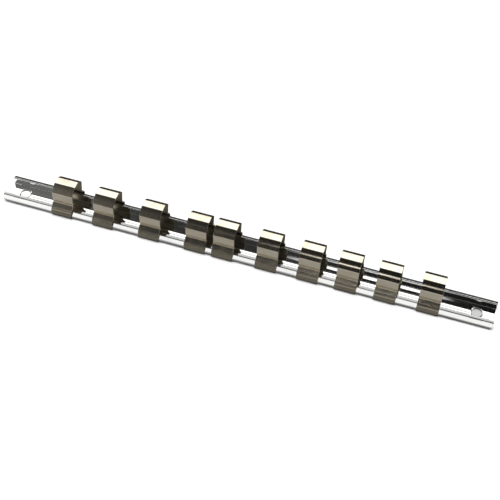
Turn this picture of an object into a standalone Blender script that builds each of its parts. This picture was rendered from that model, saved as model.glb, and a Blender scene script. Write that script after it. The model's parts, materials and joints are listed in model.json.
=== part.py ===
"""Socket rail: a folded chrome rail that carries ten spring clips for half-inch drive sockets.

Units are metres. The rail runs along X, its mounting face lies on Z = 0, and its middle is the origin.
"""
import math

import bmesh
import bpy
from mathutils import Vector

MM = 0.001

# Rail, one strip of sheet folded to a tray with turned-over edges
RAIL_LENGTH = 280.0 * MM
RAIL_SHEET = 0.6 * MM
RAIL_WIDTH = 18.4 * MM
RAIL_HEIGHT = 4.9 * MM
TRAY_WIDTH = 11.2 * MM
TRAY_BEND_RADIUS = 0.4 * MM
EDGE_TOP_WIDTH = 2.2 * MM
EDGE_TOP_DROP = 0.25 * MM
EDGE_BEND_RADIUS = 0.65 * MM
HEM_HEIGHT = 2.5 * MM
HEM_BEND_RADIUS = 0.7 * MM
LIP_HEIGHT = 0.8 * MM
LIP_LENGTH = 1.5 * MM
LIP_BEND_RADIUS = 0.8 * MM
CORNER_RADIUS = 3.0 * MM

# Screw holes through the tray
HOLE_DIAMETER = 5.7 * MM
HOLE_INSET = 9.5 * MM
DISH_DIAMETER = 7.4 * MM
DISH_DEPTH = 0.25 * MM

# Spring clip, one strip bent to an arch that fills a socket's square drive
CLIP_COUNT = 10
CLIP_LENGTH = 12.0 * MM
CLIP_STRIP = 0.4 * MM
CLIP_HEAD_WIDTH = 14.0 * MM
CLIP_TOP_WIDTH = 5.0 * MM
CLIP_NECK_WIDTH = 12.8 * MM
CLIP_RISE = 13.45 * MM
CLIP_SHOULDER_RISE = 9.8 * MM
CLIP_NECK_RISE = 2.75 * MM
CLIP_FLARE_RISE = 1.15 * MM
CLIP_FLARE_INSET = 1.3 * MM
CLIP_HOOK_DROP = 0.6 * MM
CLIP_HOOK_LENGTH = 1.6 * MM
CLIP_TOP_RADIUS = 1.5 * MM
CLIP_CROWN = 0.35 * MM
CLIP_SHOULDER_RADIUS = 0.5 * MM
CLIP_NECK_RADIUS = 0.35 * MM
CLIP_FLARE_RADIUS = 1.2 * MM
CLIP_HOOK_TOP_RADIUS = 2.2 * MM
CLIP_HOOK_RADIUS = 1.5 * MM

# Fits between clip and rail, and the overrun of every cutter
SIDE_CLEARANCE = 0.25 * MM
HOOK_CLEARANCE = 0.25 * MM
CUT_OVERRUN = 2.0 * MM

# Free rail before the first clip, between neighbours and after the last, as shares of all of it
FREE_RAIL_SHARES = (29.9, 12.4, 15.3, 14.8, 3.9, 12.9, 11.5, 9.2, 9.6, 11.5, 29.0)

# Fineness of bends and holes, in steps
BEND_STEPS = 5
CROWN_STEPS = 4
HOLE_SIDES = 32
CORNER_STEPS = 8
SHARP_ANGLE = math.radians(35.0)

# Bare metals, as colour and roughness
CHROME = ((0.80, 0.80, 0.79), 0.06)
NICKEL = ((0.58, 0.53, 0.44), 0.16)


def clear_scene():
    """Remove whatever the open file holds."""
    for obj in list(bpy.data.objects):
        bpy.data.objects.remove(obj, do_unlink=True)


def make_material(name, colour, roughness):
    """Return a bare metal of one colour."""
    material = bpy.data.materials.new(name)
    material.use_nodes = True
    shader = material.node_tree.nodes["Principled BSDF"]
    shader.inputs["Base Color"].default_value = (*colour, 1.0)
    shader.inputs["Metallic"].default_value = 1.0
    shader.inputs["Roughness"].default_value = roughness
    return material


def bend_points(before, corner, after, radius, room):
    """Return the arc that rounds a corner of a path, within the room that its runs leave."""
    to_before = before - corner
    to_after = after - corner
    half_angle = to_before.angle(to_after) / 2
    reach = min(radius / math.tan(half_angle), room)
    radius = reach * math.tan(half_angle)
    bisector = (to_before.normalized() + to_after.normalized()).normalized()
    centre = corner + bisector * radius / math.sin(half_angle)
    start = corner + to_before.normalized() * reach - centre
    end = corner + to_after.normalized() * reach - centre
    points = []
    for step in range(BEND_STEPS + 1):
        blend = start.lerp(end, step / BEND_STEPS)
        points.append(centre + blend.normalized() * radius)
    return points


def bent_path(corners):
    """Turn (point, bend radius) corners into a path with round bends; two bends share the run between."""
    places = [Vector(place) for place, _ in corners]
    bent = [radius > 0.0 for _, radius in corners]
    path = [places[0]]
    for index in range(1, len(corners) - 1):
        if not bent[index]:
            path.append(places[index])
            continue
        rooms = []
        for neighbour in (index - 1, index + 1):
            run = (places[neighbour] - places[index]).length
            rooms.append(run / 2 if bent[neighbour] else run)
        radius = corners[index][1]
        path.extend(bend_points(places[index - 1], places[index], places[index + 1], radius, min(rooms)))
    path.append(places[-1])
    return path


def side_normals(path):
    """Return, for each point of a path, the mitred offset of a unit-thick wall on its left."""
    normals = []
    for index in range(len(path)):
        runs = []
        if index > 0:
            runs.append((path[index] - path[index - 1]).normalized())
        if index < len(path) - 1:
            runs.append((path[index + 1] - path[index]).normalized())
        sides = [Vector((-run.y, run.x)) for run in runs]
        middle = sum(sides, Vector((0.0, 0.0))).normalized()
        normals.append(middle / middle.dot(sides[0]))
    return normals


def mirrored(path):
    """Extend half a path, given from the middle outward, to both sides of the middle."""
    other_half = [Vector((-point.x, point.y)) for point in reversed(path[1:])]
    return other_half + path


def strip_outline(path, thickness):
    """Return the closed outline of a strip whose outer face is the path."""
    normals = side_normals(path)
    inner = [point - normal * thickness for point, normal in zip(path, normals)]
    return path + list(reversed(inner))


def extrude_outline(name, outline, length, material):
    """Make a solid of an outline in the YZ plane, centred along X."""
    mesh = bpy.data.meshes.new(name)
    solid = bmesh.new()
    ring = [solid.verts.new((-length / 2, point.x, point.y)) for point in outline]
    cap = solid.faces.new(ring)
    extruded = bmesh.ops.extrude_face_region(solid, geom=[cap])
    moved = [item for item in extruded["geom"] if isinstance(item, bmesh.types.BMVert)]
    bmesh.ops.translate(solid, verts=moved, vec=(length, 0.0, 0.0))
    bmesh.ops.recalc_face_normals(solid, faces=solid.faces)
    solid.to_mesh(mesh)
    solid.free()
    mesh.materials.append(material)
    mesh.shade_smooth()
    mesh.set_sharp_from_angle(angle=SHARP_ANGLE)
    return mesh


def add_object(name, mesh, parent, location):
    """Place a mesh in the scene under the assembly's empty."""
    obj = bpy.data.objects.new(name, mesh)
    bpy.context.scene.collection.objects.link(obj)
    obj.parent = parent
    obj.location = location
    return obj


def rail_path():
    """Return the rail's upper face in section, from the middle of the tray to the turned-in lip."""
    web = TRAY_WIDTH / 2
    tray = RAIL_SHEET
    edge_outside = web + EDGE_TOP_WIDTH
    half_width = RAIL_WIDTH / 2
    return bent_path([
        ((0.0, tray), 0.0),
        ((web, tray), TRAY_BEND_RADIUS),
        ((web, RAIL_HEIGHT), EDGE_BEND_RADIUS),
        ((edge_outside, RAIL_HEIGHT - EDGE_TOP_DROP), EDGE_BEND_RADIUS),
        ((half_width, HEM_HEIGHT), HEM_BEND_RADIUS),
        ((half_width, LIP_HEIGHT), LIP_BEND_RADIUS),
        ((half_width - LIP_LENGTH, LIP_HEIGHT), 0.0),
    ])


def crowned_run(start, end, crown):
    """Return points between two places on a shallow arch that stands proud of the straight run."""
    run = end - start
    outward = Vector((-run.y, run.x)).normalized()
    points = []
    for step in range(1, CROWN_STEPS):
        share = step / CROWN_STEPS
        points.append(start.lerp(end, share) + outward * crown * 4 * share * (1 - share))
    return points


def clip_path():
    """Return the clip's outer face in section, from the middle of its top to the tip of its hook."""
    hook_bottom = LIP_HEIGHT - HOOK_CLEARANCE - CLIP_STRIP
    hook_outside = RAIL_WIDTH / 2 + SIDE_CLEARANCE + CLIP_STRIP
    top = Vector((CLIP_TOP_WIDTH / 2, RAIL_HEIGHT + CLIP_RISE))
    shoulder = Vector((CLIP_HEAD_WIDTH / 2, RAIL_HEIGHT + CLIP_SHOULDER_RISE))
    corners = [((0.0, top.y), 0.0), (top, CLIP_TOP_RADIUS)]
    corners += [(point, 0.0) for point in crowned_run(top, shoulder, CLIP_CROWN)]
    corners += [
        (shoulder, CLIP_SHOULDER_RADIUS),
        ((CLIP_NECK_WIDTH / 2, RAIL_HEIGHT + CLIP_NECK_RISE), CLIP_NECK_RADIUS),
        ((hook_outside - CLIP_FLARE_INSET, RAIL_HEIGHT + CLIP_FLARE_RISE), CLIP_FLARE_RADIUS),
        ((hook_outside, RAIL_HEIGHT - CLIP_HOOK_DROP), CLIP_HOOK_TOP_RADIUS),
        ((hook_outside, hook_bottom), CLIP_HOOK_RADIUS),
        ((hook_outside - CLIP_HOOK_LENGTH, hook_bottom), 0.0),
    ]
    return bent_path(corners)


def add_cut(target, cutter):
    """Take a cutter's shape out of a solid."""
    cutter.hide_render = True
    cutter.display_type = "WIRE"
    cut = target.modifiers.new(cutter.name, "BOOLEAN")
    cut.operation = "DIFFERENCE"
    cut.solver = "EXACT"
    cut.object = cutter


def hole_cutter(name, parent, place):
    """Make the cutter of one screw hole: a bore below a shallow dish in the tray."""
    bore = HOLE_DIAMETER / 2
    dish = DISH_DIAMETER / 2
    profile = (
        (bore, -CUT_OVERRUN),
        (bore, RAIL_SHEET - DISH_DEPTH),
        (dish, RAIL_SHEET),
        (dish, RAIL_SHEET + CUT_OVERRUN),
    )
    mesh = bpy.data.meshes.new(name)
    solid = bmesh.new()
    rings = []
    for radius, height in profile:
        ring = []
        for side in range(HOLE_SIDES):
            angle = 2 * math.pi * side / HOLE_SIDES
            ring.append(solid.verts.new((radius * math.cos(angle), radius * math.sin(angle), height)))
        rings.append(ring)
    for lower, upper in zip(rings, rings[1:]):
        for side in range(HOLE_SIDES):
            after = (side + 1) % HOLE_SIDES
            solid.faces.new((lower[side], lower[after], upper[after], upper[side]))
    solid.faces.new(list(reversed(rings[0])))
    solid.faces.new(rings[-1])
    solid.to_mesh(mesh)
    solid.free()
    return add_object(name, mesh, parent, (place, 0.0, 0.0))


def corner_cutter(name, parent, end, side):
    """Make the cutter that rounds the lower corner of one turned-over edge at one end of the rail."""
    below = LIP_HEIGHT - CUT_OVERRUN
    top = LIP_HEIGHT + CORNER_RADIUS
    outline = [Vector((CUT_OVERRUN, below)), Vector((CUT_OVERRUN, top))]
    for step in range(CORNER_STEPS + 1):
        angle = math.pi / 2 * step / CORNER_STEPS
        along = -CORNER_RADIUS + CORNER_RADIUS * math.cos(angle)
        height = top - CORNER_RADIUS * math.sin(angle)
        outline.append(Vector((along, height)))
    outline.append(Vector((-CORNER_RADIUS, below)))
    inner = side * (TRAY_WIDTH + EDGE_TOP_WIDTH) / 2
    outer = side * (RAIL_WIDTH / 2 + CUT_OVERRUN)
    mesh = bpy.data.meshes.new(name)
    solid = bmesh.new()
    ring = [solid.verts.new((end * point.x, inner, point.y)) for point in outline]
    cap = solid.faces.new(ring)
    extruded = bmesh.ops.extrude_face_region(solid, geom=[cap])
    moved = [item for item in extruded["geom"] if isinstance(item, bmesh.types.BMVert)]
    bmesh.ops.translate(solid, verts=moved, vec=(0.0, outer - inner, 0.0))
    bmesh.ops.recalc_face_normals(solid, faces=solid.faces)
    solid.to_mesh(mesh)
    solid.free()
    return add_object(name, mesh, parent, (end * RAIL_LENGTH / 2, 0.0, 0.0))


def clip_places():
    """Return each clip's middle along the rail."""
    free_rail = RAIL_LENGTH - CLIP_COUNT * CLIP_LENGTH
    whole = sum(FREE_RAIL_SHARES)
    places = []
    left_end = -RAIL_LENGTH / 2
    for share in FREE_RAIL_SHARES[:CLIP_COUNT]:
        left_end += free_rail * share / whole
        places.append(left_end + CLIP_LENGTH / 2)
        left_end += CLIP_LENGTH
    return places


def build_rail(parent):
    """Fold the rail, round its free corners and pierce its two holes."""
    chrome = make_material("polished_chrome", *CHROME)
    outline = strip_outline(mirrored(rail_path()), RAIL_SHEET)
    mesh = extrude_outline("rail", outline, RAIL_LENGTH, chrome)
    rail = add_object("rail", mesh, parent, (0.0, 0.0, 0.0))
    for end, end_name in ((-1, "left"), (1, "right")):
        place = end * (RAIL_LENGTH / 2 - HOLE_INSET)
        add_cut(rail, hole_cutter("hole_cutter_" + end_name, parent, place))
        for side, side_name in ((-1, "front"), (1, "back")):
            name = "corner_cutter_" + end_name + "_" + side_name
            add_cut(rail, corner_cutter(name, parent, end, side))


def build_clips(parent):
    """Bend one clip and set a copy at each place along the rail."""
    nickel = make_material("nickel_spring_steel", *NICKEL)
    outline = strip_outline(mirrored(clip_path()), CLIP_STRIP)
    mesh = extrude_outline("clip", outline, CLIP_LENGTH, nickel)
    for number, place in enumerate(clip_places(), start=1):
        add_object("clip_%02d" % number, mesh, parent, (place, 0.0, 0.0))


def main():
    """Build the whole socket rail."""
    clear_scene()
    assembly = bpy.data.objects.new("socket_rail", None)
    bpy.context.scene.collection.objects.link(assembly)
    build_rail(assembly)
    build_clips(assembly)


main()
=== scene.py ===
"""Finished look of a socket rail: a folded chrome rail with ten nickel spring clips, on a pale floor.

Units are metres. The rail runs along X, its mounting face lies on Z = 0, and its middle is the origin.
"""
import json
import math

import bpy
from mathutils import Matrix, Vector

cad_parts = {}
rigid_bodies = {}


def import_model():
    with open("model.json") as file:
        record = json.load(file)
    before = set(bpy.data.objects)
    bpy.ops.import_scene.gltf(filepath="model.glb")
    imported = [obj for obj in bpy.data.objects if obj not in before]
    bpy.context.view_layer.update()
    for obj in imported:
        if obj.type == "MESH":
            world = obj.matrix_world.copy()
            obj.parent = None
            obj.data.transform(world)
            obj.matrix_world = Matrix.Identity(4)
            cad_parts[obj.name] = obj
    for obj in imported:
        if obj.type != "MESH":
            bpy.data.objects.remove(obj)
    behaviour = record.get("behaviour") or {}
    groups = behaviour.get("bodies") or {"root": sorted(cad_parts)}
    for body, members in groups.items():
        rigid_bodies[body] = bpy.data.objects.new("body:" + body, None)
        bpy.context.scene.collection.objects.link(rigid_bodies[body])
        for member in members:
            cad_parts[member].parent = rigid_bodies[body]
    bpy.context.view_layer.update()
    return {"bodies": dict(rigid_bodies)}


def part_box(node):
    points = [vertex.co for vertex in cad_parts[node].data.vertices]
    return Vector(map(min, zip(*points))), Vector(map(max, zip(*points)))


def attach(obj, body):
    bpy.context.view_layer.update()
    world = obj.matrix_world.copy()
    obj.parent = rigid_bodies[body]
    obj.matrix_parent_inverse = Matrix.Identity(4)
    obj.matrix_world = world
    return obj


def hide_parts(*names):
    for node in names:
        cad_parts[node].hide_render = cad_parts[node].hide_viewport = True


bl_info = {
    "name": "Socket Rail",
    "version": (1, 0, 0),
    "blender": (4, 5, 0),
    "location": "View3D > Sidebar > Socket Rail",
    "description": "Builds a folded rail, its spring clips and a pale studio stage",
    "category": "Object",
}

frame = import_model()
rail_low, rail_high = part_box("rail")

MM = 0.001
CLIP_NAMES = tuple(sorted(name for name in frame["bodies"] if name.startswith("clip")))

# Fineness of bends, edges and the screw holes' surroundings
BEND_STEP = math.radians(7.5)
EDGE_STEPS = 3
CROWN_STEPS = 8
HOLE_SIDES = 72
FINE_RUN = 0.2 * MM
COARSE_RUN = 10.0 * MM
SHARP_ANGLE = math.radians(38.0)
FLAT_WEIGHT = 100
LEVEL_SLACK = 0.01 * MM
THINNEST_SHARE = 0.03

# Rolled lines: a fine and a broad noise, their shares of the mix, and where it shows as a line
FINE_DETAIL = 3.0
BROAD_SCALE = 0.21
BROAD_DETAIL = 1.0
FINE_SHARE = 0.65
BROAD_SHARE = 0.35
LINE_BAND = (0.38, 0.62)

# Handling: clouds of smudges, and hairline scratches that show in patches
SMUDGE_DETAIL = 4.0
SMUDGE_DISTORTION = 0.6
SMUDGE_BAND = (0.46, 0.68)
SCRATCH_TURN = (0.3, 0.2, 0.5)
SCRATCH_STRETCH = (0.12, 1.0, 1.0)
SCRATCH_HALF = 0.018
PATCH_SCALE = 160.0
PATCH_BAND = (0.5, 0.64)

# Surface of the two metals, with real handling marks and painted shade low down and around the screw holes;
# the values named in the tuple below grow with the wear and painted shade setting
CHROME_LOOK = {
    "along": 18.0, "across": 2600.0, "line_share": 0.12, "line_roughness": 0.02,
    "smudge_scale": 55.0, "smudge_tone": 0.25, "smudge_colour": (0.90, 0.89, 0.86), "smudge_roughness": 0.05,
    "scratch_scale": 700.0, "scratch_roughness": 0.12, "scratch_depth": 0.5,
    # Painted shade: the rail darker toward the floor, for the contact shadow its lower edge reflects
    "painted_shade": 0.3, "painted_shade_colour": (0.5, 0.49, 0.47),
    "painted_shade_top": 1.6 * MM, "painted_shade_bottom": 0.3 * MM,
    # Painted shade: a dark rim around each screw hole
    "painted_rim": 1.8, "painted_rim_colour": (0.2, 0.2, 0.2),
}
NICKEL_LOOK = {
    "along": 60.0, "across": 5200.0, "line_share": 1.0, "line_roughness": 0.06,
    "smudge_scale": 140.0, "smudge_tone": 0.6, "smudge_colour": (0.86, 0.80, 0.68), "smudge_roughness": 0.08,
    "scratch_scale": 900.0, "scratch_roughness": 0.15, "scratch_depth": 0.4,
    # Painted shade: the clips darker toward their hooks, for the shadow they reflect near the rail
    "painted_shade": 1.7, "painted_shade_colour": (0.30, 0.29, 0.275),
    "painted_shade_top": 6.4 * MM, "painted_shade_bottom": 4.4 * MM,
    "inside_roughness": 0.24, "inside_colour": (0.84, 0.83, 0.78),
}
WEAR_AND_PAINTED_SHADE = ("smudge_tone", "smudge_roughness", "scratch_roughness", "painted_shade", "painted_rim")

# Painted shade around a screw hole, a dark rim: from its wall to where the rim begins to fade, and to where
# it ends
PAINTED_RIM_FADE = (0.2 * MM, 0.55 * MM)

# Painted shadow on the floor under the rail: how far inside the outline it is full, and the share of it at
# the left end
SHADE_INSET = 1.5 * MM
UNDER_SHADOW_LEFT = 0.1

# Studio light by direction around the rail, from the far horizon (0) overhead to the near one (180):
# (degrees, brightness) stops
HALF_TURN = 180.0
PANEL_STOPS = (
    (0.0, 0.02), (43.8, 0.02), (46.0, 1.0), (54.0, 1.0), (60.0, 0.27), (64.0, 0.23), (70.0, 0.06),
    (90.0, 0.02), (98.0, 0.005), (157.0, 0.0), (161.0, 0.42), (180.0, 0.42),
)
PANEL_POWER = 2.7
LAMP_STOPS = ((0.0, 0.0), (124.5, 0.0), (126.0, 1.0), (129.0, 1.0), (130.5, 0.0))
LAMP_POWER = 3.5
DIM_STOPS = ((0.0, 0.0), (80.0, 0.0), (100.0, 0.35), (130.0, 1.0), (150.0, 1.2), (158.0, 1.2), (165.0, 0.0))

# The same along the rail, as (share of the span, brightness) stops. A span holds slopes of directions along
# the rail, which are measured against at least LEAST_ACROSS.
LEAST_ACROSS = 0.001
DIM_SPAN = (-0.45, 0.15)
DIM_ALONG_STOPS = (
    (0.0, 0.22), (0.15, 0.20), (0.25, 0.08), (0.32, 0.042), (0.54, 0.036), (0.62, 0.016), (0.8, 0.008),
)
LAMP_SPAN = (-0.2, 0.1)
LAMP_ALONG_STOPS = ((0.0, 0.0), (0.2, 0.0), (0.4, 1.0), (0.6, 1.0), (0.72, 0.0))

# White horizon: the rise of a direction where it begins, and where it is full
HORIZON_RISES = (0.24, 0.2)

# Overhead lamp's direction, and the camera's fixed sizes
KEY_TOWARD = (-0.1, -0.1, 1.0)
SENSOR_WIDTH = 36.0
NEAREST_SEEN = 10.0 * MM

# Cards beside the rail, seen only in reflections, that paint shadow and dark reflections: where they begin
# and end along it, and (distance behind its middle, height) corners
CARD_SPAN = (-200.0 * MM, 200.0 * MM)
FLAG_SPAN = (-185.0 * MM, -5.0 * MM)
# Far card: a painted dark reflection behind the rail, seen only in reflections
FAR_DARK_REFLECTION_CARD = ((12.5 * MM, 0.5 * MM), (120.0 * MM, 0.5 * MM), (120.0 * MM, 45.0 * MM))
# Near card: painted shadow next to the rail, seen only in reflections
NEAR_SHADOW_CARD = ((-17.0 * MM, 0.05 * MM), (-9.0 * MM, 0.05 * MM))
# Front card: painted shade on the floor in front, darker toward the rail, seen only in reflections
FRONT_SHADE_CARD = ((-120.0 * MM, 0.05 * MM), (-17.0 * MM, 0.05 * MM))
# Flag card: a painted dark reflection for the left clips, seen only in reflections
FLAG_DARK_REFLECTION_CARD = ((-310.0 * MM, 88.0 * MM), (-300.0 * MM, 0.5 * MM))

# Grey of each card from its front edge to its back edge, as (share, brightness) stops; the near and front
# cards darken toward the rail as painted shadow, and the far and flag cards are dark all over as painted dark
# reflections
FAR_DARK_REFLECTION_GREYS = ((0.0, 0.03), (1.0, 0.03))
NEAR_SHADOW_GREYS = ((0.0, 0.40), (0.44, 0.44), (0.72, 0.42), (0.8, 0.2), (0.94, 0.08), (1.0, 0.03))
FRONT_SHADE_GREYS = ((0.0, 0.85), (0.5, 0.7), (0.85, 0.4), (1.0, 0.3))
FLAG_DARK_REFLECTION_GREYS = ((0.0, 0.03), (1.0, 0.03))


def size(name, description, default):
    """Return a length property."""
    return bpy.props.FloatProperty(
        name=name, description=description, default=default, unit="LENGTH", precision=5, min=0.0
    )


def share(name, description, default):
    """Return a plain number from zero to one."""
    return bpy.props.FloatProperty(name=name, description=description, default=default, min=0.0, max=1.0)


def rotation(name, description, degrees):
    """Return an angle property."""
    return bpy.props.FloatProperty(
        name=name, description=description, default=math.radians(degrees), unit="ROTATION"
    )


def colour(name, description, default):
    """Return a colour property."""
    return bpy.props.FloatVectorProperty(
        name=name, description=description, default=default, subtype="COLOR", size=3, min=0.0, max=1.0
    )


class SocketRailRailSizes(bpy.types.PropertyGroup):
    """Sizes of the folded rail."""

    length: size("Length", "Rail from end to end", rail_high.x - rail_low.x)
    sheet: size("Sheet", "Thickness of the folded sheet", 0.6 * MM)
    width: size("Width", "Rail across its turned-over edges", 18.4 * MM)
    height: size("Height", "Mounting face to the top of the edges", 4.9 * MM)
    tray_width: size("Tray Width", "Tray between its two webs", 11.2 * MM)
    tray_bend: size("Tray Bend", "Radius where the tray turns up", 0.4 * MM)
    edge_width: size("Edge Width", "Top of each turned-over edge", 2.2 * MM)
    edge_drop: size("Edge Drop", "Fall of each edge's top toward its outside", 0.25 * MM)
    edge_bend: size("Edge Bend", "Radius of the turned-over edges", 0.65 * MM)
    hem_height: size("Hem Height", "Where the skirts turn upright", 2.5 * MM)
    hem_bend: size("Hem Bend", "Radius where the skirts turn upright", 0.7 * MM)
    lip_height: size("Lip Height", "Mounting face to the turned-in lips", 0.8 * MM)
    lip_length: size("Lip Length", "Reach of the turned-in lips", 1.5 * MM)
    lip_bend: size("Lip Bend", "Radius where the skirts turn in", 0.8 * MM)
    corner_radius: size("Corner Radius", "Rounding of the skirts' free corners", 3.0 * MM)
    hole_diameter: size("Hole Diameter", "Screw holes through the tray", 5.7 * MM)
    hole_inset: size("Hole Inset", "Rail's end to the middle of a screw hole", 9.5 * MM)
    dish_diameter: size("Dish Diameter", "Sunk ring around a screw hole", 7.0 * MM)
    dish_depth: size("Dish Depth", "How far the ring is sunk", 0.14 * MM)
    crown_height: size("Crown Height", "How far the tray swells along its middle", 0.115 * MM)
    trough_depth: size("Trough Depth", "How far the tray sinks beside its swell", 0.043 * MM)
    trough_place: size("Trough Place", "Rail's middle to the deepest line of a trough", 2.8 * MM)
    trough_half: size("Trough Half", "Half the level width of a trough", 0.2 * MM)


class SocketRailClipSizes(bpy.types.PropertyGroup):
    """Sizes of one spring clip."""

    length: size("Length", "Clip along the rail", 12.0 * MM)
    strip: size("Strip", "Thickness of the spring strip", 0.4 * MM)
    edge_radius: size("Edge Radius", "Rounding of the strip's long edges", 0.11 * MM)
    head_width: size("Head Width", "Clip across its shoulders", 14.0 * MM)
    top_width: size("Top Width", "Flat top between its two bends", 5.0 * MM)
    neck_width: size("Neck Width", "Clip across its neck", 12.8 * MM)
    rise: size("Rise", "Rail's edge to the clip's top", 13.45 * MM)
    shoulder_rise: size("Shoulder Rise", "Rail's edge to the shoulders", 9.8 * MM)
    neck_rise: size("Neck Rise", "Rail's edge to the neck", 2.75 * MM)
    flare_rise: size("Flare Rise", "Rail's edge to the flares", 1.15 * MM)
    flare_inset: size("Flare Inset", "Flare inside the hook's outside", 1.3 * MM)
    hook_drop: size("Hook Drop", "Rail's edge down to the upright hooks", 0.6 * MM)
    hook_length: size("Hook Length", "Reach of the hooks under the rail", 1.6 * MM)
    top_radius: size("Top Radius", "Bends at the top", 1.5 * MM)
    crown: size("Crown", "Swell of the sloping faces", 0.35 * MM)
    shoulder_radius: size("Shoulder Radius", "Bends at the shoulders", 0.5 * MM)
    neck_radius: size("Neck Radius", "Bends at the neck", 0.35 * MM)
    flare_radius: size("Flare Radius", "Bends at the flares", 1.2 * MM)
    hook_top_radius: size("Hook Top Radius", "Bends where the hooks turn upright", 2.2 * MM)
    hook_radius: size("Hook Radius", "Bends of the hooks", 1.5 * MM)
    side_clearance: size("Side Clearance", "Clip to the rail's side", 0.25 * MM)
    hook_clearance: size("Hook Clearance", "Hook to the rail's lip", 0.25 * MM)


class SocketRailFinishes(bpy.types.PropertyGroup):
    """Colours and surface of the two metals."""

    chrome: colour("Chrome", "Colour of the rail's chrome plate", (0.80, 0.80, 0.79))
    chrome_roughness: share("Chrome Roughness", "Softness of the rail's reflections", 0.03)
    nickel: colour("Nickel", "Colour of the clips' nickel plate", (0.56, 0.51, 0.41))
    nickel_roughness: share("Nickel Roughness", "Softness of the clips' reflections", 0.11)
    line_depth: size("Line Depth", "Height of the rolled lines in the strip", 0.004 * MM)
    # Also scales the painted shade low on each piece and around the screw holes
    wear_and_painted_shade: share("Wear", "How strongly handling and sliding show", 0.5)


class SocketRailStage(bpy.types.PropertyGroup):
    """Floor, light and camera."""

    floor: colour("Floor", "Colour of the floor", (0.88, 0.88, 0.88))
    # Painted shadow: the floor's colour where the rail covers it, seen through the screw holes
    under: colour("Under", "Colour of the floor that the rail covers", (0.46, 0.47, 0.46))
    floor_reach: size("Floor Reach", "Half the floor's side", 4.0)
    key_power: bpy.props.FloatProperty(
        name="Key Power", description="Strength of the soft lamp overhead", default=3.2, min=0.0
    )
    key_spread: rotation("Key Spread", "Width of the soft lamp as an angle", 40.0)
    lens: bpy.props.FloatProperty(
        name="Lens", description="Focal length", default=80.9, min=1.0, unit="CAMERA"
    )
    azimuth: rotation("Azimuth", "Camera's turn around the rail", 14.36)
    elevation: rotation("Elevation", "Camera's height as an angle", 47.78)
    roll: rotation("Roll", "Camera's lean", 4.03)
    distance: size("Distance", "Camera to the rail's middle", 620.37 * MM)
    aside: size("Aside", "Camera's shift to its right", 3.638 * MM)
    above: size("Above", "Camera's shift upward", 0.845 * MM)
    base: size("Base", "Height of the aimed point over the floor", 0.2 * MM)


def add_node(tree, kind, inputs=None, **settings):
    """Add a node with its settings, and feed its inputs from sockets or plain values."""
    node = tree.nodes.new(kind)
    for key, value in settings.items():
        setattr(node, key, value)
    for key, value in (inputs or {}).items():
        if isinstance(value, bpy.types.NodeSocket):
            tree.links.new(value, node.inputs[key])
        else:
            node.inputs[key].default_value = value
    return node


def calc(tree, operation, *values):
    """Return the result of a Math node."""
    return add_node(tree, "ShaderNodeMath", dict(enumerate(values)), operation=operation).outputs[0]


def ease(tree, value, start, end, low=0.0, high=1.0):
    """Return a value eased smoothly from low to high while another goes from start to end."""
    inputs = {"Value": value, "From Min": start, "From Max": end, "To Min": low, "To Max": high}
    return add_node(tree, "ShaderNodeMapRange", inputs, interpolation_type="SMOOTHSTEP").outputs[0]


def parts(tree, vector):
    """Return the X, Y and Z of a vector."""
    return add_node(tree, "ShaderNodeSeparateXYZ", {0: vector}).outputs


def along_axis(tree, axis, value):
    """Return a vector that is zero but for one axis (0, 1 or 2)."""
    return add_node(tree, "ShaderNodeCombineXYZ", {axis: value}).outputs[0]


def hole_distance(tree, along, across, hole_place):
    """Return how far a place is from the middle of the nearer screw hole."""
    past = calc(tree, "SUBTRACT", along, hole_place)
    squared = calc(tree, "ADD", calc(tree, "MULTIPLY", past, past), calc(tree, "MULTIPLY", across, across))
    return calc(tree, "SQRT", squared)


def new_geometry_tree(name, numbers, objects=()):
    """Start a Geometry Nodes tree with named number inputs, objects and a material."""
    tree = bpy.data.node_groups.new(name, "GeometryNodeTree")
    sockets = tree.interface
    sockets.new_socket("Geometry", in_out="INPUT", socket_type="NodeSocketGeometry")
    for number in numbers:
        sockets.new_socket(number, in_out="INPUT", socket_type="NodeSocketFloat")
    for item in objects:
        sockets.new_socket(item, in_out="INPUT", socket_type="NodeSocketObject")
    sockets.new_socket("Material", in_out="INPUT", socket_type="NodeSocketMaterial")
    sockets.new_socket("Geometry", in_out="OUTPUT", socket_type="NodeSocketGeometry")
    start = tree.nodes.new("NodeGroupInput").outputs
    return tree, start


def end_geometry_tree(tree, geometry, material):
    """Finish a Geometry Nodes tree with real, smooth, coloured geometry."""
    smooth = add_node(tree, "GeometryNodeSetShadeSmooth", {"Geometry": geometry})
    real = add_node(tree, "GeometryNodeRealizeInstances", {"Geometry": smooth.outputs[0]})
    coloured = add_node(
        tree, "GeometryNodeSetMaterial", {"Geometry": real.outputs[0], "Material": material}
    )
    add_node(tree, "NodeGroupOutput", {"Geometry": coloured.outputs[0]})
    return tree


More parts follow.
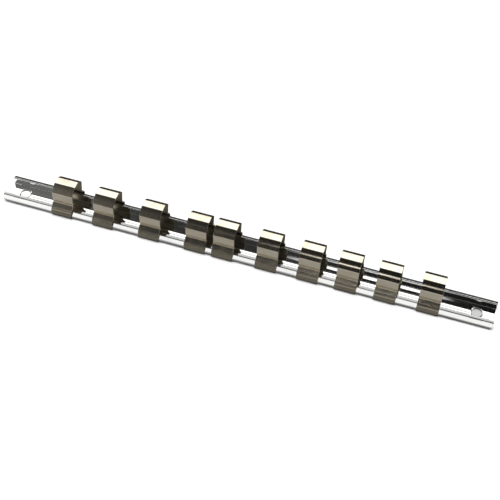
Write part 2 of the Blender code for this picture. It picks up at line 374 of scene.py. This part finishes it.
def grow(name, points, tree, values):
    """Run a Geometry Nodes tree on a line of points and return the result as a plain mesh object."""
    line = bpy.data.meshes.new(name + "_line")
    edges = [(index, index + 1) for index in range(len(points) - 1)]
    line.from_pydata(points, edges, [])
    seed = bpy.data.objects.new(name + "_seed", line)
    bpy.context.scene.collection.objects.link(seed)
    modifier = seed.modifiers.new("shape", "NODES")
    modifier.node_group = tree
    for item in tree.interface.items_tree:
        if item.in_out == "INPUT" and item.name in values:
            modifier[item.identifier] = values[item.name]
    graph = bpy.context.evaluated_depsgraph_get()
    mesh = bpy.data.meshes.new_from_object(seed.evaluated_get(graph))
    bpy.data.objects.remove(seed)
    bpy.data.meshes.remove(line)
    mesh.name = name
    piece = bpy.data.objects.new(name, mesh)
    bpy.context.scene.collection.objects.link(piece)
    mesh.set_sharp_from_angle(angle=SHARP_ANGLE)
    weighted = piece.modifiers.new("flat_faces_lead", "WEIGHTED_NORMAL")
    weighted.keep_sharp = True
    weighted.weight = FLAT_WEIGHT
    graph = bpy.context.evaluated_depsgraph_get()
    finished = bpy.data.meshes.new_from_object(piece.evaluated_get(graph))
    piece.modifiers.remove(weighted)
    piece.data = finished
    bpy.data.meshes.remove(mesh)
    finished.name = name
    return piece


def arc(before, corner, after, radius, room):
    """Return the points of the arc that rounds a corner, within the room that its runs leave."""
    to_before = (before - corner).normalized()
    to_after = (after - corner).normalized()
    half_angle = to_before.angle(to_after) / 2
    reach = min(radius / math.tan(half_angle), room)
    radius = reach * math.tan(half_angle)
    centre = corner + (to_before + to_after).normalized() * radius / math.sin(half_angle)
    start = corner + to_before * reach - centre
    turn = start.angle_signed(corner + to_after * reach - centre)
    steps = max(2, math.ceil(abs(turn) / BEND_STEP))
    points = []
    for step in range(steps + 1):
        angle = -turn * step / steps
        spun = Vector((
            start.x * math.cos(angle) - start.y * math.sin(angle),
            start.x * math.sin(angle) + start.y * math.cos(angle),
        ))
        points.append(centre + spun)
    return points


def bent_path(corners):
    """Turn (point, bend radius) corners into a path with round bends; two bends share the run between."""
    places = [Vector(place) for place, _ in corners]
    bent = [radius > 0.0 for _, radius in corners]
    path = [places[0]]
    for index in range(1, len(corners) - 1):
        if not bent[index]:
            path.append(places[index])
            continue
        rooms = []
        for neighbour in (index - 1, index + 1):
            run = (places[neighbour] - places[index]).length
            rooms.append(run / 2 if bent[neighbour] else run)
        before, corner, after = places[index - 1:index + 2]
        path.extend(arc(before, corner, after, corners[index][1], min(rooms)))
    path.append(places[-1])
    return path


def mirrored(path):
    """Extend half a path, given from the middle outward, to both sides of the middle."""
    return [Vector((-point.x, point.y)) for point in reversed(path[1:])] + path


def shifted(path, distance):
    """Return the path moved to its right by a distance, with mitred corners."""
    moved = []
    for index, point in enumerate(path):
        runs = []
        if index > 0:
            runs.append((point - path[index - 1]).normalized())
        if index < len(path) - 1:
            runs.append((path[index + 1] - point).normalized())
        sides = [Vector((run.y, -run.x)) for run in runs]
        middle = sum(sides, Vector((0.0, 0.0))).normalized()
        moved.append(point + middle * distance / middle.dot(sides[0]))
    return moved


def rail_outline(sizes):
    """Return the rail's closed section, its tray cut fine for the dishes."""
    web = sizes.tray_width / 2
    edge_outside = web + sizes.edge_width
    half_width = sizes.width / 2
    half = bent_path([
        ((0.0, sizes.sheet), 0.0),
        ((web, sizes.sheet), sizes.tray_bend),
        ((web, sizes.height), sizes.edge_bend),
        ((edge_outside, sizes.height - sizes.edge_drop), sizes.edge_bend),
        ((half_width, sizes.hem_height), sizes.hem_bend),
        ((half_width, sizes.lip_height), sizes.lip_bend),
        ((half_width - sizes.lip_length, sizes.lip_height), 0.0),
    ])
    steps = math.ceil(half[1].x / FINE_RUN)
    fine = [half[0].lerp(half[1], step / steps) for step in range(1, steps)]
    upper = mirrored(half[:1] + fine + half[1:])
    lower = shifted(mirrored(half), sizes.sheet)
    return upper + list(reversed(lower))


def rail_stations(sizes):
    """Return the places along the rail where its section is repeated, close together at holes and corners."""
    end = sizes.length / 2
    hole = end - sizes.hole_inset
    reach = sizes.dish_diameter / 2 + FINE_RUN
    spans = [
        (0.0, hole - reach, COARSE_RUN),
        (hole - reach, hole + reach, FINE_RUN),
        (hole + reach, end - sizes.corner_radius, COARSE_RUN),
    ]
    places = [0.0]
    for start, stop, longest in spans:
        steps = math.ceil((stop - start) / longest)
        places += [start + (stop - start) * step / steps for step in range(1, steps + 1)]
    steps = math.ceil(math.pi / 2 / BEND_STEP)
    corner = end - sizes.corner_radius
    for step in range(1, steps + 1):
        places.append(corner + sizes.corner_radius * math.sin(math.pi / 2 * step / steps))
    return [-place for place in reversed(places[1:])] + places


def rail_tree():
    """Build the tree that sweeps a section along a line, sinks the dishes, rounds the corners and drills."""
    names = (
        "Tray Top", "Flat Half", "Crown Height", "Trough Depth", "Trough Place", "Trough Half",
        "Dish Radius", "Dish Depth", "Hole Radius", "Hole Place",
        "Corner Start", "Corner Radius", "Corner Top", "Skirt Inside", "Overrun",
    )
    tree, start = new_geometry_tree("folded_rail", names, ("Section",))
    path = add_node(tree, "GeometryNodeMeshToCurve", {"Mesh": start["Geometry"]})
    shape = add_node(
        tree, "GeometryNodeObjectInfo", {"Object": start["Section"]}, transform_space="ORIGINAL"
    )
    section = add_node(tree, "GeometryNodeMeshToCurve", {"Mesh": shape.outputs["Geometry"]})
    swept = add_node(
        tree, "GeometryNodeCurveToMesh",
        {"Curve": path.outputs[0], "Profile Curve": section.outputs[0], "Fill Caps": True},
    )
    x, y, z = parts(tree, add_node(tree, "GeometryNodeInputPosition").outputs[0])
    along = calc(tree, "ABSOLUTE", x)
    across = calc(tree, "ABSOLUTE", y)
    sign = calc(tree, "SIGN", x)

    depth = ease(
        tree, hole_distance(tree, along, y, start["Hole Place"]), start["Dish Radius"], start["Hole Radius"],
        0.0, calc(tree, "MULTIPLY", start["Dish Depth"], -1.0),
    )
    inside = calc(tree, "SUBTRACT", start["Trough Place"], start["Trough Half"])
    outside = calc(tree, "ADD", start["Trough Place"], start["Trough Half"])
    trough = calc(tree, "MULTIPLY", start["Trough Depth"], -1.0)
    swell = ease(tree, across, 0.0, inside, start["Crown Height"], trough)
    rise = ease(tree, across, outside, start["Flat Half"], 0.0, start["Trough Depth"])
    swell = calc(tree, "ADD", swell, rise)
    clear = calc(tree, "SUBTRACT", start["Hole Place"], start["Dish Radius"])
    fade = ease(tree, along, start["Hole Place"], clear)
    depth = calc(tree, "MULTIPLY_ADD", swell, fade, depth)
    near_top = calc(tree, "COMPARE", z, start["Tray Top"], LEVEL_SLACK)
    on_flat = calc(tree, "LESS_THAN", across, start["Flat Half"])
    dished = add_node(
        tree, "GeometryNodeSetPosition",
        {
            "Geometry": swept.outputs[0],
            "Selection": calc(tree, "MULTIPLY", near_top, on_flat),
            "Offset": along_axis(tree, 2, depth),
        },
    )

    below = calc(tree, "DIVIDE", calc(tree, "SUBTRACT", start["Corner Top"], z), start["Corner Radius"])
    below = calc(tree, "MINIMUM", calc(tree, "MAXIMUM", below, 0.0), 1.0)
    reach = calc(tree, "SQRT", calc(tree, "SUBTRACT", 1.0, calc(tree, "MULTIPLY", below, below)))
    cut = calc(tree, "SUBTRACT", calc(tree, "MAXIMUM", reach, THINNEST_SHARE), 1.0)
    past = calc(tree, "SUBTRACT", along, start["Corner Start"])
    pulled = calc(tree, "MULTIPLY", calc(tree, "MULTIPLY", past, cut), sign)
    on_corner = calc(tree, "GREATER_THAN", past, 0.0)
    on_skirt = calc(tree, "GREATER_THAN", across, start["Skirt Inside"])
    rounded = add_node(
        tree, "GeometryNodeSetPosition",
        {
            "Geometry": dished.outputs[0],
            "Selection": calc(tree, "MULTIPLY", on_corner, on_skirt),
            "Offset": along_axis(tree, 0, pulled),
        },
    )

    left = along_axis(tree, 0, calc(tree, "MULTIPLY", start["Hole Place"], -1.0))
    right = along_axis(tree, 0, start["Hole Place"])
    holes = add_node(
        tree, "GeometryNodeMeshLine",
        {"Count": 2, "Start Location": left, "Offset": right}, mode="END_POINTS",
    )
    drill = add_node(
        tree, "GeometryNodeMeshCylinder",
        {"Vertices": HOLE_SIDES, "Radius": start["Hole Radius"], "Depth": start["Overrun"]},
    )
    drills = add_node(
        tree, "GeometryNodeInstanceOnPoints", {"Points": holes.outputs[0], "Instance": drill.outputs[0]}
    )
    real = add_node(tree, "GeometryNodeRealizeInstances", {"Geometry": drills.outputs[0]})
    drilled = add_node(
        tree, "GeometryNodeMeshBoolean",
        {"Mesh 1": rounded.outputs[0], "Mesh 2": real.outputs[0]}, operation="DIFFERENCE", solver="EXACT",
    )
    return end_geometry_tree(tree, drilled.outputs[0], start["Material"])


def clip_centreline(rail, clip):
    """Return the middle of the bent strip in section, from one hook's tip to the other's."""
    hook_bottom = rail.lip_height - clip.hook_clearance - clip.strip
    hook_outside = rail.width / 2 + clip.side_clearance + clip.strip
    top = Vector((clip.top_width / 2, rail.height + clip.rise))
    shoulder = Vector((clip.head_width / 2, rail.height + clip.shoulder_rise))
    run = shoulder - top
    outward = Vector((-run.y, run.x)).normalized()
    corners = [((0.0, top.y), 0.0), (top, clip.top_radius)]
    for step in range(1, CROWN_STEPS):
        part = step / CROWN_STEPS
        corners.append((top.lerp(shoulder, part) + outward * clip.crown * 4 * part * (1 - part), 0.0))
    corners += [
        (shoulder, clip.shoulder_radius),
        ((clip.neck_width / 2, rail.height + clip.neck_rise), clip.neck_radius),
        ((hook_outside - clip.flare_inset, rail.height + clip.flare_rise), clip.flare_radius),
        ((hook_outside, rail.height - clip.hook_drop), clip.hook_top_radius),
        ((hook_outside, hook_bottom), clip.hook_radius),
        ((hook_outside - clip.hook_length, hook_bottom), 0.0),
    ]
    return shifted(mirrored(bent_path(corners)), clip.strip / 2)


def clip_tree():
    """Build the tree that gives a bent line the width, thickness and soft edges of a spring strip."""
    tree, start = new_geometry_tree("spring_clip", ("Length", "Strip", "Edge Radius", "Place"))
    path = add_node(tree, "GeometryNodeMeshToCurve", {"Mesh": start["Geometry"]})
    strip = add_node(
        tree, "GeometryNodeCurvePrimitiveQuadrilateral", {"Width": start["Length"], "Height": start["Strip"]}
    )
    soft = add_node(
        tree, "GeometryNodeFilletCurve",
        {
            "Curve": strip.outputs[0],
            "Count": EDGE_STEPS,
            "Radius": start["Edge Radius"],
            "Limit Radius": True,
        },
        mode="POLY",
    )
    side = parts(tree, add_node(tree, "GeometryNodeInputPosition").outputs[0])[1]
    inside = calc(tree, "LESS_THAN", side, 0.0)
    marked = add_node(
        tree, "GeometryNodeStoreNamedAttribute",
        {"Geometry": soft.outputs[0], "Name": "inside", "Value": inside},
        data_type="FLOAT", domain="POINT",
    )
    bent = add_node(
        tree, "GeometryNodeCurveToMesh",
        {"Curve": path.outputs[0], "Profile Curve": marked.outputs[0], "Fill Caps": True},
    )
    placed = add_node(
        tree, "GeometryNodeSetPosition",
        {"Geometry": bent.outputs[0], "Offset": along_axis(tree, 0, start["Place"])},
    )
    return end_geometry_tree(tree, placed.outputs[0], start["Material"])


def rolled_lines_group():
    """Build the shared effect of the fine lines that rolling and polishing leave along the metal."""
    group = bpy.data.node_groups.new("rolled_lines", "ShaderNodeTree")
    sockets = group.interface
    for name in ("Along", "Across"):
        sockets.new_socket(name, in_out="INPUT", socket_type="NodeSocketFloat")
    for name in ("Mask", "Height"):
        sockets.new_socket(name, in_out="OUTPUT", socket_type="NodeSocketFloat")
    start = group.nodes.new("NodeGroupInput").outputs
    place = add_node(group, "ShaderNodeTexCoord").outputs["Object"]
    stretch = add_node(
        group, "ShaderNodeCombineXYZ", {0: start["Along"], 1: start["Across"], 2: start["Across"]}
    ).outputs[0]
    point = add_node(group, "ShaderNodeVectorMath", {0: place, 1: stretch}, operation="MULTIPLY").outputs[0]
    fine = add_node(group, "ShaderNodeTexNoise", {"Vector": point, "Scale": 1.0, "Detail": FINE_DETAIL})
    broad = add_node(
        group, "ShaderNodeTexNoise", {"Vector": point, "Scale": BROAD_SCALE, "Detail": BROAD_DETAIL}
    )
    mixed = calc(
        group, "ADD", calc(group, "MULTIPLY", fine.outputs[0], FINE_SHARE),
        calc(group, "MULTIPLY", broad.outputs[0], BROAD_SHARE),
    )
    mask = ease(group, mixed, *LINE_BAND)
    add_node(group, "NodeGroupOutput", {"Mask": mask, "Height": mixed})
    return group


def handling_group():
    """Build the shared effect of handling: soft smudges and stray hairline scratches."""
    group = bpy.data.node_groups.new("handling", "ShaderNodeTree")
    sockets = group.interface
    for name in ("Smudge Scale", "Scratch Scale"):
        sockets.new_socket(name, in_out="INPUT", socket_type="NodeSocketFloat")
    for name in ("Smudges", "Scratches"):
        sockets.new_socket(name, in_out="OUTPUT", socket_type="NodeSocketFloat")
    start = group.nodes.new("NodeGroupInput").outputs
    place = add_node(group, "ShaderNodeTexCoord").outputs["Object"]
    cloud = add_node(
        group, "ShaderNodeTexNoise",
        {
            "Vector": place, "Scale": start["Smudge Scale"],
            "Detail": SMUDGE_DETAIL, "Distortion": SMUDGE_DISTORTION,
        },
    )
    smudges = ease(group, cloud.outputs[0], *SMUDGE_BAND)
    turned = add_node(
        group, "ShaderNodeMapping", {"Vector": place, "Rotation": SCRATCH_TURN, "Scale": SCRATCH_STRETCH}
    )
    hair = add_node(
        group, "ShaderNodeTexVoronoi", {"Vector": turned.outputs[0], "Scale": start["Scratch Scale"]},
        feature="DISTANCE_TO_EDGE",
    )
    patches = add_node(group, "ShaderNodeTexNoise", {"Vector": place, "Scale": PATCH_SCALE})
    scratches = calc(
        group, "MULTIPLY", ease(group, hair.outputs["Distance"], SCRATCH_HALF, 0.0),
        ease(group, patches.outputs[0], *PATCH_BAND),
    )
    add_node(group, "NodeGroupOutput", {"Smudges": smudges, "Scratches": scratches})
    return group


def surface_place(tree):
    """Return the X, Y and Z of the shaded place on a piece."""
    return parts(tree, add_node(tree, "ShaderNodeTexCoord").outputs["Object"])


def painted_hole_rim(tree, look):
    """Return how strongly the painted shade of the dark rims around the two screw holes shows, from their
    walls outward.
    """
    place = surface_place(tree)
    away = hole_distance(tree, calc(tree, "ABSOLUTE", place[0]), place[1], look["hole_place"])
    return ease(tree, away, look["painted_rim_end"], look["painted_rim_start"], 0.0, look["painted_rim"])


def tinted(tree, tone, amount, tint):
    """Return a colour that takes on a tint as far as an amount says."""
    inputs = {"Factor": amount, "A": tone, "B": (*tint, 1.0)}
    return add_node(tree, "ShaderNodeMix", inputs, data_type="RGBA", blend_type="MULTIPLY").outputs["Result"]


def shared_effect(name, build):
    """Return a shader group placed in several materials, built when it is first asked for."""
    return bpy.data.node_groups.get(name) or build()


def metal(name, plate, roughness, finishes, look):
    """Make one of the two plated metals from the shared effects and its own values."""
    look = {key: value * finishes.wear_and_painted_shade if key in WEAR_AND_PAINTED_SHADE else value for key, value in look.items()}
    material = bpy.data.materials.new(name)
    material.use_nodes = True
    tree = material.node_tree
    shader = tree.nodes["Principled BSDF"]
    shader.inputs["Metallic"].default_value = 1.0
    rolled = add_node(
        tree, "ShaderNodeGroup", {"Along": look["along"], "Across": look["across"]},
        node_tree=shared_effect("rolled_lines", rolled_lines_group),
    )
    worn = add_node(
        tree, "ShaderNodeGroup",
        {"Smudge Scale": look["smudge_scale"], "Scratch Scale": look["scratch_scale"]},
        node_tree=shared_effect("handling", handling_group),
    )

    smudged = calc(tree, "MULTIPLY", worn.outputs["Smudges"], look["smudge_tone"])
    tone = tinted(tree, (*plate, 1.0), smudged, look["smudge_colour"])
    height = surface_place(tree)[2]
    # Painted shade: darker toward the bottom, for the shadow reflected near the floor
    dull = ease(tree, height, look["painted_shade_top"], look["painted_shade_bottom"], 0.0, look["painted_shade"])
    tone = tinted(tree, tone, dull, look["painted_shade_colour"])
    soft = calc(tree, "MULTIPLY_ADD", worn.outputs["Smudges"], look["smudge_roughness"], roughness)
    soft = calc(tree, "MULTIPLY_ADD", rolled.outputs["Mask"], look["line_roughness"], soft)
    soft = calc(tree, "MULTIPLY_ADD", worn.outputs["Scratches"], look["scratch_roughness"], soft)
    if "inside_colour" in look:
        inside = add_node(tree, "ShaderNodeAttribute", attribute_name="inside").outputs["Fac"]
        tone = tinted(tree, tone, inside, look["inside_colour"])
        soft = calc(tree, "MULTIPLY_ADD", inside, look["inside_roughness"], soft)
    # Painted shade: a dark rim around the screw holes
    if "painted_rim_colour" in look:
        tone = tinted(tree, tone, painted_hole_rim(tree, look), look["painted_rim_colour"])
    tree.links.new(tone, shader.inputs["Base Color"])
    tree.links.new(soft, shader.inputs["Roughness"])

    scratched = calc(tree, "MULTIPLY", worn.outputs["Scratches"], -look["scratch_depth"])
    marks = calc(tree, "ADD", scratched, rolled.outputs["Height"])
    depth = finishes.line_depth * look["line_share"]
    bump = add_node(tree, "ShaderNodeBump", {"Height": marks, "Strength": 1.0, "Distance": depth})
    tree.links.new(bump.outputs[0], shader.inputs["Normal"])
    return material


class SOCKETRAIL_OT_rail(bpy.types.Operator):
    """Fold the rail, with its dished screw holes and rounded corners"""

    bl_idname = "socketrail.rail"
    bl_label = "Rail"

    def execute(self, context):
        sizes = context.scene.socket_rail_rail
        finishes = context.scene.socket_rail_finishes
        hole_place = sizes.length / 2 - sizes.hole_inset
        painted_rim_start, painted_rim_end = (sizes.hole_diameter / 2 + fade for fade in PAINTED_RIM_FADE)
        chrome = metal(
            "polished_chrome", finishes.chrome, finishes.chrome_roughness, finishes,
            {**CHROME_LOOK, "hole_place": hole_place, "painted_rim_start": painted_rim_start, "painted_rim_end": painted_rim_end},
        )
        outline = rail_outline(sizes)
        section_mesh = bpy.data.meshes.new("section")
        edges = [(index, (index + 1) % len(outline)) for index in range(len(outline))]
        section_mesh.from_pydata([(-point.x, -point.y, 0.0) for point in outline], edges, [])
        section = bpy.data.objects.new("section", section_mesh)
        context.scene.collection.objects.link(section)
        values = {
            "Section": section,
            "Material": chrome,
            "Tray Top": sizes.sheet,
            "Flat Half": sizes.tray_width / 2 - sizes.tray_bend,
            "Crown Height": sizes.crown_height,
            "Trough Depth": sizes.trough_depth,
            "Trough Place": sizes.trough_place,
            "Trough Half": sizes.trough_half,
            "Dish Radius": sizes.dish_diameter / 2,
            "Dish Depth": sizes.dish_depth,
            "Hole Radius": sizes.hole_diameter / 2,
            "Hole Place": hole_place,
            "Corner Start": sizes.length / 2 - sizes.corner_radius,
            "Corner Radius": sizes.corner_radius,
            "Corner Top": sizes.lip_height + sizes.corner_radius,
            "Skirt Inside": (sizes.tray_width + sizes.edge_width) / 2,
            "Overrun": sizes.height,
        }
        stations = [(place, 0.0, 0.0) for place in rail_stations(sizes)]
        rail = grow("rail_shell", stations, rail_tree(), values)
        bpy.data.objects.remove(section)
        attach(rail, "rail")
        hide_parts("rail")
        return {"FINISHED"}


class SOCKETRAIL_OT_clips(bpy.types.Operator):
    """Bend the spring clips and set each where its body is"""

    bl_idname = "socketrail.clips"
    bl_label = "Clips"

    def execute(self, context):
        clip = context.scene.socket_rail_clip
        finishes = context.scene.socket_rail_finishes
        nickel = metal(
            "nickel_spring_steel", finishes.nickel, finishes.nickel_roughness, finishes, NICKEL_LOOK
        )
        tree = clip_tree()
        line = [(0.0, point.x, point.y) for point in clip_centreline(context.scene.socket_rail_rail, clip)]
        for name in CLIP_NAMES:
            low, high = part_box(name)
            values = {
                "Length": clip.length, "Strip": clip.strip, "Edge Radius": clip.edge_radius,
                "Place": (low.x + high.x) / 2, "Material": nickel,
            }
            piece = grow("spring_" + name, line, tree, values)
            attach(piece, name)
            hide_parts(name)
        return {"FINISHED"}


def floor_material(stage):
    """Make the pale floor with a painted shadow where the rail covers it, as its screw holes show."""
    material = bpy.data.materials.new("pale_floor_with_painted_shadow")
    material.use_nodes = True
    tree = material.node_tree
    tree.nodes.remove(tree.nodes["Principled BSDF"])
    place = surface_place(tree)
    # Painted shadow under the rail, fading toward its left end
    along = ease(tree, calc(tree, "ABSOLUTE", place[0]), rail_high.x, rail_high.x - SHADE_INSET)
    across = ease(tree, calc(tree, "ABSOLUTE", place[1]), rail_high.y, rail_high.y - SHADE_INSET)
    painted_shadow = calc(tree, "MULTIPLY", along, across)
    painted_shadow = calc(tree, "MULTIPLY", painted_shadow, ease(tree, place[0], rail_low.x, 0.0, UNDER_SHADOW_LEFT, 1.0))
    inputs = {"Factor": painted_shadow, "A": (*stage.floor, 1.0), "B": (*stage.under, 1.0)}
    tone = add_node(tree, "ShaderNodeMix", inputs, data_type="RGBA")
    matt = add_node(tree, "ShaderNodeBsdfDiffuse", {"Color": tone.outputs["Result"]})
    tree.links.new(matt.outputs[0], tree.nodes["Material Output"].inputs["Surface"])
    return material


def bands(tree, value, stops):
    """Return a grey that follows (place, brightness) stops along a value from 0 to 1."""
    ramp = add_node(tree, "ShaderNodeValToRGB", {"Fac": value})
    elements = ramp.color_ramp.elements
    while len(elements) > 1:
        elements.remove(elements[-1])
    for index, (place, grey) in enumerate(stops):
        element = elements[0] if index == 0 else elements.new(place)
        element.position = place
        element.color = (grey, grey, grey, 1.0)
    return ramp.outputs["Color"]


def along_span(tree, value, span):
    """Return a value that goes from 0 to 1 while another goes through a span."""
    inputs = {"Value": value, "From Min": span[0], "From Max": span[1]}
    return add_node(tree, "ShaderNodeMapRange", inputs).outputs[0]


def around(tree, angle, stops):
    """Return a grey that follows (degrees, brightness) stops around the rail."""
    return bands(tree, angle, [(degrees / HALF_TURN, grey) for degrees, grey in stops])


def studio_world():
    """Light the metal with long soft panels that run along the rail, before a white horizon."""
    world = bpy.data.worlds.new("studio")
    world.use_nodes = True
    tree = world.node_tree
    back = tree.nodes["Background"]
    x, y, z = parts(tree, add_node(tree, "ShaderNodeTexCoord").outputs["Generated"])
    angle = calc(tree, "DIVIDE", calc(tree, "ARCTAN2", z, y), math.pi)
    squared = calc(tree, "ADD", calc(tree, "MULTIPLY", y, y), calc(tree, "MULTIPLY", z, z))
    across = calc(tree, "MAXIMUM", calc(tree, "SQRT", squared), LEAST_ACROSS)
    aside = calc(tree, "DIVIDE", x, across)

    dim = bands(tree, along_span(tree, aside, DIM_SPAN), DIM_ALONG_STOPS)
    lamp = calc(
        tree, "MULTIPLY", around(tree, angle, LAMP_STOPS),
        bands(tree, along_span(tree, aside, LAMP_SPAN), LAMP_ALONG_STOPS),
    )
    total = calc(tree, "MULTIPLY", around(tree, angle, PANEL_STOPS), PANEL_POWER)
    total = calc(tree, "MULTIPLY_ADD", dim, around(tree, angle, DIM_STOPS), total)
    total = calc(tree, "MULTIPLY_ADD", lamp, LAMP_POWER, total)
    total = calc(tree, "MAXIMUM", total, ease(tree, z, *HORIZON_RISES))
    back.inputs["Color"].default_value = (1.0, 1.0, 1.0, 1.0)
    tree.links.new(total, back.inputs["Strength"])
    bpy.context.scene.world = world


def card_material(name, corners, greys):
    """Make the matt grey of a card, shaded from its front edge to its back edge, as painted shadow or a
    painted dark reflection.
    """
    material = bpy.data.materials.new(name)
    material.use_nodes = True
    tree = material.node_tree
    across = surface_place(tree)[1]
    shade = bands(tree, along_span(tree, across, (corners[0][0], corners[-1][0])), greys)
    shader = tree.nodes["Principled BSDF"]
    tree.links.new(shade, shader.inputs["Base Color"])
    shader.inputs["Roughness"].default_value = 1.0
    return material


def add_card(name, corners, greys, span=CARD_SPAN):
    """Set a card along the rail that shows only in reflections, as painted shadow or a painted dark
    reflection.
    """
    mesh = bpy.data.meshes.new(name)
    points = [(end, across, height) for across, height in corners for end in span]
    faces = [(2 * step, 2 * step + 1, 2 * step + 3, 2 * step + 2) for step in range(len(corners) - 1)]
    mesh.from_pydata(points, [], faces)
    mesh.materials.append(card_material(name, corners, greys))
    card = bpy.data.objects.new(name, mesh)
    bpy.context.scene.collection.objects.link(card)
    card.visible_camera = False
    card.visible_diffuse = False
    card.visible_shadow = False


def lay_floor(stage):
    """Lay the pale floor on the plane of the rail's mounting face."""
    reach = stage.floor_reach
    mesh = bpy.data.meshes.new("floor")
    corners = [(-reach, -reach, 0.0), (reach, -reach, 0.0), (reach, reach, 0.0), (-reach, reach, 0.0)]
    mesh.from_pydata(corners, [], [(0, 1, 2, 3)])
    mesh.materials.append(floor_material(stage))
    floor = bpy.data.objects.new("floor", mesh)
    bpy.context.scene.collection.objects.link(floor)


def hang_lamp(stage):
    """Hang the broad soft lamp overhead, which the metal doesn't mirror."""
    light = bpy.data.lights.new("key", "SUN")
    light.energy = stage.key_power
    light.angle = stage.key_spread
    lamp = bpy.data.objects.new("key", light)
    toward = Vector(KEY_TOWARD)
    lamp.matrix_world = Matrix.Translation(toward) @ toward.to_track_quat("Z", "Y").to_matrix().to_4x4()
    lamp.visible_glossy = False
    bpy.context.scene.collection.objects.link(lamp)


def set_camera(stage):
    """Aim the camera at the rail from the side, above and a little leaned."""
    azimuth, elevation, roll = stage.azimuth, stage.elevation, stage.roll
    level = math.cos(elevation)
    back = Vector((math.sin(azimuth) * level, -math.cos(azimuth) * level, math.sin(elevation)))
    right = (-back).cross(Vector((0.0, 0.0, 1.0))).normalized()
    up = back.cross(right)
    leaned_right = right * math.cos(roll) + up * math.sin(roll)
    leaned_up = up * math.cos(roll) - right * math.sin(roll)
    optics = bpy.data.cameras.new("camera")
    optics.lens = stage.lens
    optics.sensor_width = SENSOR_WIDTH
    optics.clip_start = NEAREST_SEEN
    camera = bpy.data.objects.new("camera", optics)
    bpy.context.scene.collection.objects.link(camera)
    place = leaned_right * stage.aside + leaned_up * stage.above + back * stage.distance
    place.z += stage.base
    aim = Matrix((leaned_right, leaned_up, back)).transposed()
    camera.matrix_world = Matrix.Translation(place) @ aim.to_4x4()
    bpy.context.scene.camera = camera


class SOCKETRAIL_OT_stage(bpy.types.Operator):
    """Lay the pale floor, hang the lamp, set the cards that paint shadow and dark reflections, and the camera
    """

    bl_idname = "socketrail.stage"
    bl_label = "Stage"

    def execute(self, context):
        stage = context.scene.socket_rail_stage
        lay_floor(stage)
        studio_world()
        hang_lamp(stage)
        add_card("far_card", FAR_DARK_REFLECTION_CARD, FAR_DARK_REFLECTION_GREYS)
        add_card("near_card", NEAR_SHADOW_CARD, NEAR_SHADOW_GREYS)
        add_card("front_card", FRONT_SHADE_CARD, FRONT_SHADE_GREYS)
        add_card("flag_card", FLAG_DARK_REFLECTION_CARD, FLAG_DARK_REFLECTION_GREYS, FLAG_SPAN)
        set_camera(stage)
        context.scene.view_settings.view_transform = "Standard"
        return {"FINISHED"}


class SOCKETRAIL_PT_panel(bpy.types.Panel):
    """Sizes, finishes and steps of the socket rail"""

    bl_idname = "SOCKETRAIL_PT_panel"
    bl_label = "Socket Rail"
    bl_space_type = "VIEW_3D"
    bl_region_type = "UI"
    bl_category = "Socket Rail"

    def draw(self, context):
        layout = self.layout
        for group in GROUPS:
            box = layout.box()
            box.label(text=group.__doc__)
            settings = getattr(context.scene, GROUPS[group])
            for name in group.__annotations__:
                box.prop(settings, name)
        for step in STEPS:
            layout.operator(step.bl_idname)


GROUPS = {
    SocketRailRailSizes: "socket_rail_rail",
    SocketRailClipSizes: "socket_rail_clip",
    SocketRailFinishes: "socket_rail_finishes",
    SocketRailStage: "socket_rail_stage",
}
STEPS = (SOCKETRAIL_OT_rail, SOCKETRAIL_OT_clips, SOCKETRAIL_OT_stage)


def register():
    """Register the settings, the steps and the panel."""
    for group, attribute in GROUPS.items():
        bpy.utils.register_class(group)
        setattr(bpy.types.Scene, attribute, bpy.props.PointerProperty(type=group))
    for step in (*STEPS, SOCKETRAIL_PT_panel):
        bpy.utils.register_class(step)


def unregister():
    """Remove everything that register added."""
    for step in reversed((*STEPS, SOCKETRAIL_PT_panel)):
        bpy.utils.unregister_class(step)
    for group, attribute in GROUPS.items():
        delattr(bpy.types.Scene, attribute)
        bpy.utils.unregister_class(group)


def main():
    """Build the rail, the clips and the stage."""
    register()
    bpy.ops.socketrail.rail()
    bpy.ops.socketrail.clips()
    bpy.ops.socketrail.stage()


if __name__ == "__main__":
    main()
